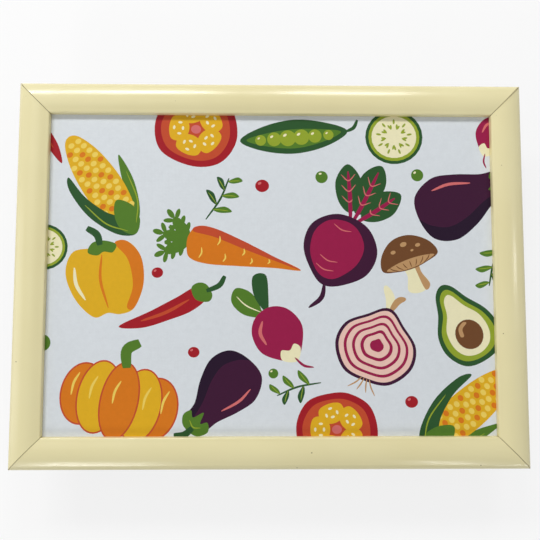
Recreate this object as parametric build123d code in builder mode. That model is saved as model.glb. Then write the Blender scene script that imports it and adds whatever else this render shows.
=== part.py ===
from build123d import *
import math
import os

# Lap tray with a cushion: a framed, printed board that a bead-filled cushion carries.
# Millimetres. X runs along the tray, Y to its back edge and Z up. The origin is at the
# middle of the cushion's underside, which rests on the lap or on a table.

# The tray's frame: four mitred lengths of one moulding
tray_length = 440.0
tray_depth = 332.0
rail_width = 27.5
rail_height = 16.0
rail_side_height = 8.0
rail_foot_round = 1.0
rail_shoulder_width = 5.0
rail_crown_fall = 1.8
rail_lip_round_width = 3.2
rebate_width = 6.0
rebate_height = 9.0
lip_thickness = 3.4
mitre_gap = 0.25

# The board and the two sheets that it carries, held up in the frame's rebate
print_thickness = 0.4
board_thickness = 3.0
backing_thickness = 0.3
board_clearance = 0.5
backing_margin = 1.5

# V-nails across each mitre, and framer's points under the board
nail_height = 7.0
nail_span = 8.0
nail_rise = 3.0
nail_thickness = 0.6
nail_place_shares = (0.4, 0.7)
point_width = 8.0
point_tip = 3.0
point_buried = 7.0
point_proud = 7.0
point_thickness = 0.5
long_side_point_shares = (-0.33, 0.0, 0.33)
short_side_point_shares = (-0.25, 0.25)
fastener_clearance = 0.05

# Touch-close strips between the tray and the cushion, and the staples that hold the hooks
strip_width = 20.0
strip_corner_radius = 1.5
strip_edge = 6.0
strip_end_gap = 22.0
hook_thickness = 1.0
loop_thickness = 1.0
strip_gap = 0.3
staple_length = 10.0
staple_wire = 0.7
staple_leg = 3.2
long_strip_staple_shares = (-0.45, 0.0, 0.45)
short_strip_staple_shares = (-0.42, 0.42)

# The cushion: two cover panels that meet at the seam, an inner bag and its filling
cushion_height = 50.0
seam_height = 28.0
frame_overhang = 14.0
side_draw = 6.0
long_side_curve = 56.0
short_side_curve = 62.0
corner_radius = 14.0
top_clearance = 16.0
underside_reach = 44.0
flat_cut = 0.5
cover_thickness = 0.8
layer_gap = 0.3
bag_thickness = 0.5
bulge_shares = (0.0, 0.3, 0.55, 0.78, 1.0)
draw_fade_share = 0.8
corner_growth_share = 0.6

# The zip, which fills the straight middle of the back seam
zip_slot_height = 12.0
tape_thickness = 0.6
comb_half_height = 2.2
comb_thickness = 2.0
bead_height = 1.2
tooth_pitch = 2.5
tooth_width = 1.0
tooth_tip_gap = 0.2
stop_length = 2.5
slider_length = 11.0
slider_width = 7.6
slider_corner_radius = 2.2
slider_plate = 1.0
slider_gap = 0.3
flange_length = 8.0
flange_thickness = 1.2
ear_thickness = 1.0
ear_radius = 1.5
pin_radius = 0.7
puller_clearance = 0.3
puller_eye_radius = 1.7
puller_thickness = 1.2
puller_neck = 3.0
puller_length = 19.0
puller_width = 5.4
puller_corner_radius = 2.0
puller_hole_length = 6.0
puller_hole_width = 2.0

# One overrun for every cut that passes through what it cuts
overrun = 5.0

# Heights that follow from the stack: cushion, strips, board and frame
recess_height = rebate_height - print_thickness - board_thickness - backing_thickness
loop_top = cushion_height + loop_thickness
hook_foot = loop_top + strip_gap
backing_foot = hook_foot + hook_thickness
board_foot = backing_foot + backing_thickness
print_foot = board_foot + board_thickness
frame_foot = backing_foot - recess_height

# Plan sizes that follow from the frame
opening_length = tray_length - 2 * rail_width
opening_depth = tray_depth - 2 * rail_width
rebate_half_length = opening_length / 2 + rebate_width
rebate_half_depth = opening_depth / 2 + rebate_width
board_length = 2 * (rebate_half_length - board_clearance)
board_depth = 2 * (rebate_half_depth - board_clearance)

# The cushion stands inside the frame's outline, and its flat top inside the rebate
cushion_length = tray_length - 2 * frame_overhang
cushion_depth = tray_depth - 2 * frame_overhang
zip_length = cushion_length - 2 * long_side_curve
side_straight = cushion_depth - 2 * short_side_curve
top_half_length = rebate_half_length - top_clearance
top_half_depth = rebate_half_depth - top_clearance
top_height = cushion_height - seam_height
top_turned_share = 1 - math.sqrt(1 - (top_height / (top_height + flat_cut)) ** 2)
top_reach = (cushion_length / 2 - top_half_length) / top_turned_share

# Places of the strips, from the edge of the cushion's flat top
strip_x = top_half_length - strip_edge - strip_width / 2
strip_y = top_half_depth - strip_edge - strip_width / 2
long_strip_length = 2 * (strip_x - strip_width / 2 - strip_end_gap)
short_strip_length = 2 * (strip_y - strip_width / 2 - strip_end_gap)
strips = {
    "front": (0, -strip_y, long_strip_length, strip_width),
    "back": (0, strip_y, long_strip_length, strip_width),
    "left": (-strip_x, 0, strip_width, short_strip_length),
    "right": (strip_x, 0, strip_width, short_strip_length),
}

os.makedirs("parts", exist_ok=True)


def save(piece, name):
    """Name a finished piece and write it."""
    piece.part.label = name
    export_step(piece.part, f"parts/{name}.step")
    print(f"{name}: {len(piece.part.solids())} solid(s), {piece.part.volume:.1f} mm3")


# Fasteners. Each is made twice: at its own size, and with clearance as the slot for it

def v_nails(clearance):
    """Two chevrons of steel strip across each mitre, driven in from the underside."""
    places = [
        Plane(
            origin=(
                sx * (opening_length / 2 + share * rail_width),
                sy * (opening_depth / 2 + share * rail_width),
                frame_foot,
            ),
            x_dir=(sy, -sx, 0),
        )
        for sx in (-1, 1)
        for sy in (-1, 1)
        for share in nail_place_shares
    ]
    half_span = nail_span / 2 + clearance
    rise = nail_rise * half_span / (nail_span / 2)
    half_strip = nail_thickness / 2 + clearance
    with BuildPart() as nails:
        with BuildSketch(*places):
            with BuildLine():
                Polyline(
                    (0, -half_strip),
                    (half_span, rise - half_strip),
                    (half_span, rise + half_strip),
                    (0, half_strip),
                    (-half_span, rise + half_strip),
                    (-half_span, rise - half_strip),
                    close=True,
                )
            make_face()
        extrude(amount=nail_height + clearance)
    return nails


def framers_points(clearance):
    """Flat steel points, driven into the rebate's wall, that hold the board up."""
    foot = backing_foot - point_thickness - clearance
    walls = [
        Plane(origin=(share * board_length, sy * rebate_half_depth, foot), x_dir=(-sy, 0, 0))
        for sy in (-1, 1)
        for share in long_side_point_shares
    ] + [
        Plane(origin=(sx * rebate_half_length, share * board_depth, foot), x_dir=(0, sx, 0))
        for sx in (-1, 1)
        for share in short_side_point_shares
    ]
    half_width = point_width / 2 + clearance
    shoulder = point_buried - point_tip + clearance
    with BuildPart() as points:
        with BuildSketch(*walls):
            with BuildLine():
                Polyline(
                    (-half_width, point_proud),
                    (half_width, point_proud),
                    (half_width, -shoulder),
                    (0, -point_buried - clearance),
                    (-half_width, -shoulder),
                    close=True,
                )
            make_face()
        extrude(amount=point_thickness + clearance)
    return points


def staples(clearance):
    """Wire staples, let into the hook strips, with their legs up in the board."""
    places = []
    for x, y, length, width in strips.values():
        if length > width:
            shares = long_strip_staple_shares
            places += [Plane(origin=(x + share * length, y, hook_foot)) for share in shares]
        else:
            shares = short_strip_staple_shares
            places += [
                Plane(origin=(x, y + share * width, hook_foot), x_dir=(0, 1, 0)) for share in shares
            ]
    wire = staple_wire + 2 * clearance
    with BuildPart() as wires:
        with BuildSketch(*places):
            Rectangle(staple_length + 2 * clearance, wire)
        extrude(amount=staple_wire + clearance)
        with BuildSketch(*places):
            with GridLocations(staple_length - staple_wire, 0, 2, 1):
                Rectangle(wire, wire)
        extrude(amount=staple_leg + clearance)
    return wires


corner_v_nails = v_nails(0)
nail_slots = v_nails(fastener_clearance)
framer_points = framers_points(0)
point_slots = framers_points(fastener_clearance)
strip_staples = staples(0)
staple_holes = staples(fastener_clearance)
save(corner_v_nails, "corner_v_nails")
save(framer_points, "framer_points")
save(strip_staples, "strip_staples")


# The frame

def make_rail(outward, wall, half_length):
    """One mitred length of the moulding, whose opening edge is wall away from the middle."""
    across = Vector(*outward)
    along = across.cross(Vector(0, 0, 1))
    section_plane = Plane(origin=across * wall + Vector(0, 0, frame_foot), x_dir=across, z_dir=along)
    crown_side = rail_height - rail_crown_fall
    lip_edge = rebate_height + lip_thickness
    up = Vector(0, 1)
    with BuildPart() as rail:
        with BuildSketch(section_plane):
            with BuildLine():
                Polyline(
                    (0, lip_edge),
                    (0, rebate_height),
                    (rebate_width, rebate_height),
                    (rebate_width, 0),
                    (rail_width - rail_foot_round, 0),
                )
                RadiusArc(
                    (rail_width - rail_foot_round, 0), (rail_width, rail_foot_round), -rail_foot_round
                )
                Line((rail_width, rail_foot_round), (rail_width, rail_side_height))
                crown_start = Vector(rail_width - rail_shoulder_width, crown_side)
                crown_end = Vector(rail_lip_round_width, crown_side)
                crown_middle = (crown_start + crown_end) / 2 + Vector(0, rail_crown_fall)
                crown = ThreePointArc(crown_start, crown_middle, crown_end)
                Spline((rail_width, rail_side_height), crown @ 0, tangents=[up, crown % 0])
                Spline(crown @ 1, (0, lip_edge), tangents=[crown % 1, -up])
            make_face()
        extrude(amount=half_length, both=True)
        for end in (-1, 1):
            corner = across * wall + along * (end * (half_length - rail_width))
            mitre = Plane(origin=corner, x_dir=(0, 0, 1), z_dir=along * end - across)
            split(bisect_by=mitre.offset(-mitre_gap / 2), keep=Keep.BOTTOM)
        add(nail_slots.part, mode=Mode.SUBTRACT)
        add(point_slots.part, mode=Mode.SUBTRACT)
    return rail


for name, outward, wall, half_length in (
    ("front_rail", (0, -1, 0), opening_depth / 2, tray_length / 2),
    ("back_rail", (0, 1, 0), opening_depth / 2, tray_length / 2),
    ("left_rail", (-1, 0, 0), opening_length / 2, tray_depth / 2),
    ("right_rail", (1, 0, 0), opening_length / 2, tray_depth / 2),
):
    save(make_rail(outward, wall, half_length), name)

# The print, the board that carries it and the sheet that closes its underside

with BuildPart() as print_sheet:
    with BuildSketch(Plane.XY.offset(print_foot)):
        Rectangle(board_length, board_depth)
    extrude(amount=print_thickness)
save(print_sheet, "print_sheet")

with BuildPart() as tray_board:
    with BuildSketch(Plane.XY.offset(board_foot)):
        Rectangle(board_length, board_depth)
    extrude(amount=board_thickness)
    add(staple_holes.part, mode=Mode.SUBTRACT)
save(tray_board, "tray_board")

with BuildPart() as backing_sheet:
    with BuildSketch(Plane.XY.offset(backing_foot)):
        Rectangle(board_length - 2 * backing_margin, board_depth - 2 * backing_margin)
    extrude(amount=backing_thickness)
    add(staple_holes.part, mode=Mode.SUBTRACT)
save(backing_sheet, "backing_sheet")

# The touch-close strips: hooks on the tray, loops on the cushion

for side, (x, y, length, width) in strips.items():
    with BuildPart() as hook_strip:
        with BuildSketch(Plane(origin=(x, y, hook_foot))):
            RectangleRounded(length, width, strip_corner_radius)
        extrude(amount=hook_thickness)
        add(staple_holes.part, mode=Mode.SUBTRACT)
    save(hook_strip, f"hook_strip_{side}")

    with BuildPart() as loop_strip:
        with BuildSketch(Plane(origin=(x, y, cushion_height))):
            RectangleRounded(length, width, strip_corner_radius)
        extrude(amount=loop_thickness)
    save(loop_strip, f"loop_strip_{side}")


# The cushion

def cushion_half(upward, inset):
    """The cushion from its seam to its flat top or underside, drawn in by inset all round."""
    height = top_height if upward > 0 else seam_height
    reach = top_reach if upward > 0 else underside_reach
    with BuildPart() as half:
        for share in bulge_shares:
            turn = share * math.pi / 2
            drawn = inset + (reach - inset) * (1 - math.cos(turn))
            draw = side_draw * (1 - draw_fade_share * math.sin(turn))
            x = cushion_length / 2 - drawn
            y = cushion_depth / 2 - drawn
            tip = (x + draw, y + draw)
            rise = upward * (height + flat_cut - inset) * math.sin(turn)
            with BuildSketch(Plane.XY.offset(seam_height + rise)) as outline:
                with BuildLine():
                    back = Line((0, y), (zip_length / 2 - drawn + inset, y))
                    TangentArc(back @ 1, tip, tangent=back % 1)
                    side = Line((x, 0), (x, side_straight / 2 - drawn + inset))
                    TangentArc(side @ 1, tip, tangent=side % 1)
                    mirror(about=Plane.XZ)
                    mirror(about=Plane.YZ)
                make_face()
                tips = outline.vertices().sort_by_distance((0, 0, 0))[-4:]
                fillet(tips, corner_radius + corner_growth_share * drawn)
        loft()
        face = Plane.XY.offset(seam_height + upward * (height - inset))
        split(bisect_by=face, keep=Keep.BOTTOM if upward > 0 else Keep.TOP)
    return half


def cut_zip_slot(upward, mode):
    """The stretch of one cover panel, beside the back seam, that the zip takes."""
    Box(
        zip_length,
        cover_thickness + 2 * overrun,
        zip_slot_height / 2,
        align=(Align.CENTER, Align.CENTER, Align.MIN if upward > 0 else Align.MAX),
        mode=mode,
    )


bag_inset = cover_thickness + layer_gap
fill_inset = bag_inset + bag_thickness + layer_gap
back_of_seam = (0, cushion_depth / 2, seam_height)

for name, upward in (("cover_top_panel", 1), ("cover_bottom_panel", -1)):
    outer = cushion_half(upward, 0)
    inner = cushion_half(upward, cover_thickness)
    with BuildPart() as panel:
        add(outer.part)
        add(inner.part, mode=Mode.SUBTRACT)
        with Locations(back_of_seam):
            cut_zip_slot(upward, Mode.SUBTRACT)
    save(panel, name)

bag_halves = [cushion_half(upward, bag_inset) for upward in (1, -1)]
bag_hollow = [cushion_half(upward, bag_inset + bag_thickness) for upward in (1, -1)]
with BuildPart() as inner_bag:
    for half in bag_halves:
        add(half.part)
    for half in bag_hollow:
        add(half.part, mode=Mode.SUBTRACT)
save(inner_bag, "inner_bag")

fill_halves = [cushion_half(upward, fill_inset) for upward in (1, -1)]
with BuildPart() as bead_fill:
    for half in fill_halves:
        add(half.part)
save(bead_fill, "bead_fill")


# The zip

for name, upward in (("zip_tape_upper", 1), ("zip_tape_lower", -1)):
    outer = cushion_half(upward, cover_thickness - tape_thickness)
    inner = cushion_half(upward, cover_thickness)
    with BuildPart() as tape:
        add(outer.part)
        add(inner.part, mode=Mode.SUBTRACT)
        with Locations(back_of_seam):
            cut_zip_slot(upward, Mode.INTERSECT)
        with Locations(back_of_seam):
            Box(zip_length, 2 * overrun, 2 * comb_half_height, mode=Mode.SUBTRACT)
    save(tape, name)

comb_back = cushion_depth / 2 - cover_thickness
comb_face = comb_back + comb_thickness
comb_length = zip_length - 2 * stop_length
tooth_length = 2 * (comb_half_height - bead_height) - tooth_tip_gap
tooth_count = int((comb_length - tooth_width) / tooth_pitch)
zip_plane = Plane(origin=(0, comb_back, seam_height), x_dir=(-1, 0, 0), z_dir=(0, 1, 0))

for name, upward in (("zip_teeth_upper", 1), ("zip_teeth_lower", -1)):
    bead_y = upward * (comb_half_height - bead_height / 2)
    tooth_y = upward * (comb_half_height - bead_height - tooth_length / 2)
    with BuildPart() as comb:
        with BuildSketch(zip_plane):
            with Locations((0, bead_y)):
                Rectangle(comb_length, bead_height)
            with Locations((upward * tooth_pitch / 4, tooth_y)):
                with GridLocations(tooth_pitch, 0, tooth_count, 1):
                    Rectangle(tooth_width, tooth_length)
        extrude(amount=comb_thickness)
    save(comb, name)

with BuildPart() as zip_stops:
    with BuildSketch(zip_plane):
        with GridLocations(comb_length + stop_length, 0, 2, 1):
            Rectangle(stop_length, 2 * comb_half_height)
    extrude(amount=comb_thickness)
save(zip_stops, "zip_stops")

# The slider rides over the teeth on two flanges, and its ears hold the puller's pin
slider_x = comb_length / 2 - slider_gap - slider_length / 2
plate_back = comb_face + slider_gap
plate_face = plate_back + slider_plate
pin_y = plate_face + puller_clearance + puller_eye_radius
eye_width = puller_eye_radius + pin_radius
ear_inside = eye_width / 2 + puller_clearance
pin_plane = Plane(origin=(slider_x, pin_y, seam_height))
plate_plane = Plane(origin=(slider_x, plate_back, seam_height), x_dir=(-1, 0, 0), z_dir=(0, 1, 0))

with BuildPart() as zip_slider:
    with BuildSketch(plate_plane):
        RectangleRounded(slider_length, slider_width, slider_corner_radius)
    extrude(amount=slider_plate)
    with BuildSketch(plate_plane):
        with GridLocations(0, slider_width - flange_thickness, 1, 2):
            Rectangle(flange_length, flange_thickness)
    extrude(amount=cushion_depth / 2 + slider_gap - plate_back)
    for side in (-1, 1):
        with BuildSketch(pin_plane.offset(side * ear_inside)):
            Circle(ear_radius)
            with Locations((0, (plate_face - pin_y) / 2)):
                Rectangle(2 * ear_radius, pin_y - plate_face)
        extrude(amount=side * ear_thickness)
    with BuildSketch(pin_plane.offset(-ear_inside)):
        Circle(pin_radius)
    extrude(amount=2 * ear_inside)
save(zip_slider, "zip_slider")

# The puller hangs on that pin by its eye, and lies along the teeth
with BuildPart() as zip_puller:
    with BuildSketch(pin_plane.offset(-eye_width / 2)):
        Circle(puller_eye_radius)
        with Locations((-puller_neck / 2, 0)):
            Rectangle(puller_neck, puller_thickness)
        Circle(pin_radius + puller_clearance, mode=Mode.SUBTRACT)
    extrude(amount=eye_width)
    tab_x = slider_x - puller_neck - puller_length / 2
    tab_foot = pin_y - puller_thickness / 2
    with BuildSketch(Plane(origin=(tab_x, tab_foot, seam_height), x_dir=(-1, 0, 0), z_dir=(0, 1, 0))):
        RectangleRounded(puller_length, puller_width, puller_corner_radius)
        with Locations((puller_length / 2 - puller_hole_length, 0)):
            SlotOverall(puller_hole_length, puller_hole_width, mode=Mode.SUBTRACT)
    extrude(amount=puller_thickness)
save(zip_puller, "zip_puller")
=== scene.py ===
# %% [markdown]
# # A lap tray with a cushion
# The tray is a framed, printed board. Four mitred lengths of cream moulding hold it, and
# touch-close strips hold it on a cushion filled with beads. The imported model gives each
# rigid piece its shape and place. This file gives the pieces their finishes, draws the
# print, and turns the plain cushion into cloth.

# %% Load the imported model
import math
import random

import bmesh
import bpy
from mathutils import Matrix, Vector, geometry
from mathutils.bvhtree import BVHTree


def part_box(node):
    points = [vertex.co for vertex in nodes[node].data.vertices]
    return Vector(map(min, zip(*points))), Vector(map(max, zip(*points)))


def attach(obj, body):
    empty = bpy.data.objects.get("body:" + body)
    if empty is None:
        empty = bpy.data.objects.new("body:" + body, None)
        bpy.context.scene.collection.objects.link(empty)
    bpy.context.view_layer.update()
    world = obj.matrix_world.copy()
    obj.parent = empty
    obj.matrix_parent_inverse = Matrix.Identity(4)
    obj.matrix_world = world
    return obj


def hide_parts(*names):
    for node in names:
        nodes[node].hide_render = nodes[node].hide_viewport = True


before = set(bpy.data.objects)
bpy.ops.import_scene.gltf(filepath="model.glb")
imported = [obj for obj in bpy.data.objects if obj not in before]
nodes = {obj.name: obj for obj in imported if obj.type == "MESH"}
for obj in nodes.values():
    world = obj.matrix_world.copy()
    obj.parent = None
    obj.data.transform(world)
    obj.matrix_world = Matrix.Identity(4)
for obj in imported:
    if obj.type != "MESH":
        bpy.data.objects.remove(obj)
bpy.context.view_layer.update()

sides = ("front", "back", "left", "right")
mm = 0.001

# %% [markdown]
# ## Camera
# The photograph looks straight down from close by, so the tray's near rails look wide and
# their outer sides stay hidden. A camera is fitted by its place, the way it looks and its
# up direction. These three were found from the tray's four outer and four inner corners.

# %% Camera
rail_low, rail_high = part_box("back_rail")
widest_height = rail_low.z + 8 * mm
looks_along = Vector((0.01302, 0.06164, -0.99801)).normalized()
up = Vector((-0.00221, 0.99810, 0.06162))
right = looks_along.cross(up).normalized()
up = right.cross(looks_along)

camera = bpy.data.objects.new("camera", bpy.data.cameras.new("camera"))
bpy.context.scene.collection.objects.link(camera)
stands_at = Vector((0, 0, widest_height)) + Vector((-6.62, -24.17, 432)) * mm
facing = Matrix((right, up, -looks_along)).transposed().to_4x4()
camera.matrix_world = Matrix.Translation(stands_at) @ facing
camera.data.sensor_width = 36
camera.data.lens = 33.33
camera.data.clip_start = 0.01
bpy.context.scene.camera = camera
bpy.context.scene.view_settings.view_transform = "Standard"
print("the camera stands", round(camera.location.z / mm), "mm above the floor")

# %% [markdown]
# ## Node helpers
# Every finish here is a small net of shader nodes. Adding a node, setting its sockets and
# linking it takes many lines in Blender, so one helper does all three. Colours are given
# as they are seen on a screen, and turned into the linear light that shaders add up.

# %% Node helpers
def linear(red, green, blue):
    """A screen colour, 0 to 255, as linear light with full alpha."""
    light = [
        c / 12.92 if c <= 0.04045 else ((c + 0.055) / 1.055) ** 2.4
        for c in (red / 255, green / 255, blue / 255)
    ]
    return (*light, 1.0)


def put(tree, kind, sockets=None, **settings):
    """Add a node. A socket takes a value, or a link from another node's output."""
    added = tree.nodes.new(kind)
    for name, value in settings.items():
        setattr(added, name, value)
    for name, value in (sockets or {}).items():
        if isinstance(value, bpy.types.NodeSocket):
            tree.links.new(value, added.inputs[name])
        else:
            added.inputs[name].default_value = value
    return added


def start_material(name, roughness=0.5, metallic=0.0):
    """A material with its tree, its shader and the piece's own coordinates."""
    material = bpy.data.materials.new(name)
    material.use_nodes = True
    tree = material.node_tree
    shader = tree.nodes["Principled BSDF"]
    shader.inputs["Roughness"].default_value = roughness
    shader.inputs["Metallic"].default_value = metallic
    place = put(tree, "ShaderNodeTexCoord").outputs["Object"]
    return material, tree, shader, place


def math_node(tree, operation, a, b=0.0):
    return put(tree, "ShaderNodeMath", {0: a, 1: b}, operation=operation).outputs[0]


def noise_at(tree, place, scale, detail=2.0, roughness=0.5):
    """Soft noise whose grains are about one over scale metres across."""
    sockets = {"Vector": place, "Scale": scale, "Detail": detail, "Roughness": roughness}
    return put(tree, "ShaderNodeTexNoise", sockets).outputs["Fac"]


def spread(tree, value, low, high, to_low=0.0, to_high=1.0):
    """Stretch a value from one range to another, and hold it inside the second."""
    sockets = {0: value, 1: low, 2: high, 3: to_low, 4: to_high}
    return put(tree, "ShaderNodeMapRange", sockets).outputs[0]


def mix(tree, factor, a, b, blend="MIX"):
    """Mix two colours."""
    sockets = {0: factor, 6: a, 7: b}
    return put(tree, "ShaderNodeMix", sockets, data_type="RGBA", blend_type=blend).outputs[2]


def mix_values(tree, factor, a, b):
    """Mix two plain values."""
    return put(tree, "ShaderNodeMix", {0: factor, 2: a, 3: b}, data_type="FLOAT").outputs[0]


def two_tone(tree, pattern, low, high, first, second):
    """One screen colour where a pattern is low, and another where it is high."""
    return mix(tree, spread(tree, pattern, low, high), linear(*first), linear(*second))


def stained(tree, colour, pattern, low, high, most, stain):
    """A colour, with a share of a screen colour over it where a pattern is high."""
    return mix(tree, spread(tree, pattern, low, high, 0.0, most), colour, linear(*stain))


def shaded(tree, colour, shade):
    """A colour, made darker or lighter by a plain value."""
    grey = put(tree, "ShaderNodeCombineColor", {0: shade, 1: shade, 2: shade}).outputs[0]
    return mix(tree, 1.0, colour, grey, "MULTIPLY")


def cells_at(tree, place, scale, randomness=1.0, feature="F1"):
    """Cells around scattered points that lie about one over scale metres apart."""
    sockets = {"Vector": place, "Scale": scale, "Randomness": randomness}
    return put(tree, "ShaderNodeTexVoronoi", sockets, feature=feature).outputs


def drawn_out(tree, place, share, axis=0):
    """Places that count for less along one axis, so that a pattern on them runs long there."""
    scale = [1.0, 1.0, 1.0]
    scale[axis] = share
    return put(tree, "ShaderNodeMapping", {"Vector": place, "Scale": scale}).outputs[0]


def drive(tree, shader, colour=None, roughness=None):
    """Let patterns set the shader's colour and roughness."""
    for socket, pattern in (("Base Color", colour), ("Roughness", roughness)):
        if pattern is not None:
            tree.links.new(pattern, shader.inputs[socket])


def raise_by(tree, shader, height, distance, strength=1.0, under=None):
    """Let a height pattern tilt the surface. Returns the normal, for a finer layer on top."""
    sockets = {"Height": height, "Distance": distance, "Strength": strength}
    if under is not None:
        sockets["Normal"] = under
    normal = put(tree, "ShaderNodeBump", sockets).outputs["Normal"]
    tree.links.new(normal, shader.inputs["Normal"])
    return normal


def dress(piece, material):
    """Give a piece one material."""
    piece.data.materials.clear()
    piece.data.materials.append(material)


print("a mid grey of 128 is", round(linear(128, 128, 128)[0], 3), "in linear light")


# %% [markdown]
# ## Floor and room
# The tray stands on white. So much white around it would throw its own light on the tray
# and wash the colours out. So the floor and the room are pale grey to the light, and pure
# white only to the eye, to mirrors and to glass. A light path node tells the two apart. Near
# the tray the floor stays partly itself, because that is what shows the tray's shadow.

# %% Floor
shadow_reach, white_from = 0.5, 1.5
white_near_tray = 0.78


def add_object(bm, name):
    """Turn a finished bmesh into an object of the scene."""
    mesh = bpy.data.meshes.new(name)
    bm.to_mesh(mesh)
    bm.free()
    added = bpy.data.objects.new(name, mesh)
    bpy.context.scene.collection.objects.link(added)
    return added


def looked_at(tree):
    """1 on a ray that shows the background, 0 on one that carries light to the tray."""
    rays = put(tree, "ShaderNodeLightPath").outputs
    seen = math_node(tree, "MAXIMUM", rays["Is Camera Ray"], rays["Is Glossy Ray"])
    return math_node(tree, "MAXIMUM", seen, rays["Is Transmission Ray"])


floor_bm = bmesh.new()
bmesh.ops.create_grid(floor_bm, x_segments=1, y_segments=1, size=30)
floor = add_object(floor_bm, "floor")

floor_white, tree, shader, place = start_material("floor_white", roughness=0.9)
shader.inputs["Base Color"].default_value = (0.9, 0.9, 0.9, 1)
from_tray = put(tree, "ShaderNodeVectorMath", {0: place}, operation="LENGTH").outputs["Value"]
whiteness = spread(tree, from_tray, shadow_reach, white_from, white_near_tray, 1.0)
glow = put(tree, "ShaderNodeEmission", {"Color": (1, 1, 1, 1), "Strength": 1.0}).outputs[0]
share_of_glow = math_node(tree, "MULTIPLY", looked_at(tree), whiteness)
backed = put(tree, "ShaderNodeMixShader", {0: share_of_glow, 1: shader.outputs[0], 2: glow})
tree.links.new(backed.outputs[0], tree.nodes["Material Output"].inputs["Surface"])
dress(floor, floor_white)
print("the floor is", round(floor.dimensions.x), "m wide")

# %% Room
world = bpy.data.worlds.new("studio")
world.use_nodes = True
bpy.context.scene.world = world
tree = world.node_tree
room = tree.nodes["Background"]
room.inputs["Color"].default_value = (0.93, 0.96, 1.0, 1)
room.inputs["Strength"].default_value = 0.2
white = put(tree, "ShaderNodeBackground", {"Color": (1, 1, 1, 1), "Strength": 1.0}).outputs[0]
backed = put(tree, "ShaderNodeMixShader", {0: looked_at(tree), 1: room.outputs[0], 2: white})
tree.links.new(backed.outputs[0], tree.nodes["World Output"].inputs["Surface"])
print("the room lights the tray at", round(room.inputs["Strength"].default_value, 2))

# %% [markdown]
# ## Lamps
# A glossy moulding shows each lamp as a glint, so a lamp's place and shape are chosen for
# its glint first. Three windows stand behind the tray, low enough for the back rail to shade
# a thin band of the print. The ceiling and two walls fill in softly. A pane in front, at the
# left, draws the broad glint on the front rail. The thin one that falls to the right comes
# from a narrow slanted strip, and another strip draws the one on the right rail.

# %% Lamps
def lamp(name, across, back, height, size, power, colour=(1, 1, 1), roll=0):
    """An oblong lamp, placed in metres from the tray's middle, that faces the tray."""
    light = bpy.data.lights.new(name, "AREA")
    light.shape = "RECTANGLE"
    light.size, light.size_y = size
    light.energy = power
    light.color = colour
    made = bpy.data.objects.new(name, light)
    bpy.context.scene.collection.objects.link(made)
    made.location = (across, back, height)
    aim = Vector((0, 0, rail_high.z)) - made.location
    made.rotation_euler = aim.to_track_quat("-Z", "Y").to_euler()
    made.rotation_euler.rotate_axis("Z", math.radians(roll))


lamp("window", -0.56, 1.64, 1.42, (0.6, 0.4), 14.4, (1.0, 0.99, 0.97))
lamp("left_window", -1.1, 1.4, 1.35, (0.4, 0.3), 8.4)
lamp("right_window", 0.36, 1.7, 1.42, (0.6, 0.4), 11.0)
lamp("ceiling", -0.95, 0.55, 1.97, (1.2, 1.0), 2.4)
lamp("left_wall", -1.5, -0.1, 0.62, (0.8, 0.8), 3.0)
lamp("right_wall", 1.53, 0.0, 1.35, (1.4, 1.0), 1.2)
lamp("front_pane", -0.66, -1.5, 0.86, (0.42, 0.42), 7.0)
lamp("front_strip", 0.785, -1.5, 0.88, (0.03, 0.75), 2.2, roll=14)
lamp("right_strip", 1.34, 0.12, 1.24, (0.035, 0.3), 1.3)
print(len(bpy.data.lights), "lamps")

# %% [markdown]
# ## Cream moulding
# The rails are wrapped in a smooth, glossy cream foil. It isn't one flat colour: it yellows
# a little in broad clouds, and a few dark specks sit in it. Low, long swells in the foil
# make the glints waver, and finer ones soften their edges.

# %% Cream foil
cream, tree, shader, place = start_material("cream_foil", roughness=0.24)
clouds = noise_at(tree, place, 9, detail=3)
colour = two_tone(tree, clouds, 0.3, 0.7, (238, 228, 178), (232, 221, 170))
cells = cells_at(tree, place, 85)
chance = put(tree, "ShaderNodeSeparateColor", {0: cells["Color"]}).outputs[0]
dot = spread(tree, cells["Distance"], 0.03, 0.055, 0.85, 0.0)
speck = math_node(tree, "MULTIPLY", dot, math_node(tree, "GREATER_THAN", chance, 0.72))
colour = mix(tree, speck, colour, linear(92, 74, 48))
sheen_noise = spread(tree, noise_at(tree, place, 60), 0.3, 0.7, 0.17, 0.24)
swell = raise_by(tree, shader, noise_at(tree, place, 28, detail=1), 0.25 * mm, 0.5)
ripple = raise_by(tree, shader, noise_at(tree, place, 150, detail=1), 0.07 * mm, 0.5, under=swell)
raise_by(tree, shader, noise_at(tree, place, 420, detail=2), 0.01 * mm, 0.6, under=ripple)
print("mixed the foil from", len(tree.nodes), "nodes")

# %% [markdown]
# The foil stops at the mitres, where the cut edge of the moulding shows as a thin brown
# line, a little wider at the back right, where the joint has opened. It leaves the foot and
# the rebate bare too. Both are found from the place of each point: the mitres lie where the
# distances from the two middle lines differ by the same amount all along.

# %% Bare edges of the moulding
mitre_line_width, open_mitre_width = 0.6 * mm, 1.35 * mm
opens_from, opens_to = 196 * mm, 216 * mm
rebate_half = Vector((198.7, 144.7)) * mm
lip_underside = 56.2 * mm
foot_top = rail_low.z + 0.15 * mm

x, y, z = put(tree, "ShaderNodeSeparateXYZ", {0: place}).outputs
from_middle = [math_node(tree, "ABSOLUTE", x), math_node(tree, "ABSOLUTE", y)]
mitre_offset = rail_high.x - rail_high.y
unlike = math_node(tree, "SUBTRACT", *from_middle)
off_mitre = math_node(tree, "ABSOLUTE", math_node(tree, "SUBTRACT", unlike, mitre_offset))
at_back = math_node(tree, "GREATER_THAN", y, 0.0)
opened = math_node(tree, "MULTIPLY", spread(tree, x, opens_from, opens_to), at_back)
line_width = spread(tree, opened, 0.0, 1.0, mitre_line_width, open_mitre_width)
mitre_line = spread(tree, math_node(tree, "DIVIDE", off_mitre, line_width), 0.5, 1.0, 0.55, 0.0)

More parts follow.
